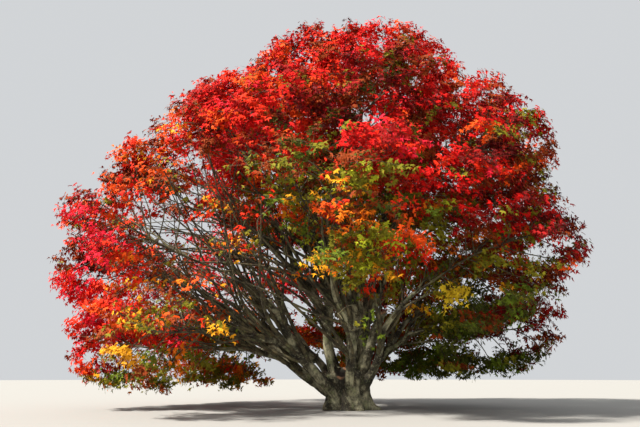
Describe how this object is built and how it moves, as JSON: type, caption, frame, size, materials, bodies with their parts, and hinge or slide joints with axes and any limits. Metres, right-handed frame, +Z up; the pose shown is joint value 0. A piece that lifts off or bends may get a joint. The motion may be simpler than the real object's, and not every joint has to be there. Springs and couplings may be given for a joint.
{
  "type": "japanese maple tree",
  "caption": "Broad old Japanese maple in autumn colour, with a squat fluted trunk, dark boughs that fan out from its fork, and a domed crown of layered foliage masses",
  "frame": {"origin": "middle of the flat cut under the trunk, at ground level", "axes": "+Z up, +X to the right in the picture, -Y towards its viewer"},
  "size_m": [13.1556, 11.9477, 10.0348],
  "materials": {
    "bark": "grey-brown mottled bark, fluted and furrowed, with greenish lichen and paler sunlit patches",
    "foliage_scarlet": "matt scarlet autumn leaves, sunlit",
    "foliage_crimson": "matt crimson autumn leaves, with darker maroon undersides",
    "foliage_orange": "matt orange and red autumn leaves",
    "foliage_olive": "matt olive and yellow-green leaves, not yet turned"
  },
  "bodies": {
    "root": {"bough_leader": "bark", "bough_lower_1": "bark", "bough_lower_2": "bark", "bough_lower_3": "bark", "bough_lower_4": "bark", "bough_lower_5": "bark", "bough_lower_6": "bark", "bough_lower_7": "bark", "bough_middle_1": "bark", "bough_middle_2": "bark", "bough_middle_3": "bark", "bough_middle_4": "bark", "bough_middle_5": "bark", "bough_middle_6": "bark", "bough_peak": "bark", "bough_skirt_1": "bark", "bough_skirt_2": "bark", "bough_skirt_3": "bark", "bough_skirt_4": "bark", "bough_skirt_5": "bark", "bough_skirt_6": "bark", "bough_upper_1": "bark", "bough_upper_2": "bark", "bough_upper_3": "bark", "bough_upper_4": "bark", "bough_upper_5": "bark", "mass_leader": "foliage_scarlet", "mass_lower_1": "foliage_orange", "mass_lower_2": "foliage_orange", "mass_lower_3": "foliage_orange", "mass_lower_4": "foliage_orange", "mass_lower_5": "foliage_orange", "mass_lower_6": "foliage_orange", "mass_lower_7": "foliage_orange", "mass_middle_1": "foliage_crimson", "mass_middle_2": "foliage_crimson", "mass_middle_3": "foliage_crimson", "mass_middle_4": "foliage_crimson", "mass_middle_5": "foliage_crimson", "mass_middle_6": "foliage_crimson", "mass_peak": "foliage_crimson", "mass_skirt_1": "foliage_olive", "mass_skirt_2": "foliage_olive", "mass_skirt_3": "foliage_olive", "mass_skirt_4": "foliage_olive", "mass_skirt_5": "foliage_olive", "mass_skirt_6": "foliage_olive", "mass_upper_1": "foliage_scarlet", "mass_upper_2": "foliage_scarlet", "mass_upper_3": "foliage_scarlet", "mass_upper_4": "foliage_scarlet", "mass_upper_5": "foliage_scarlet", "trunk": "bark"}
  },
  "joints": []
}
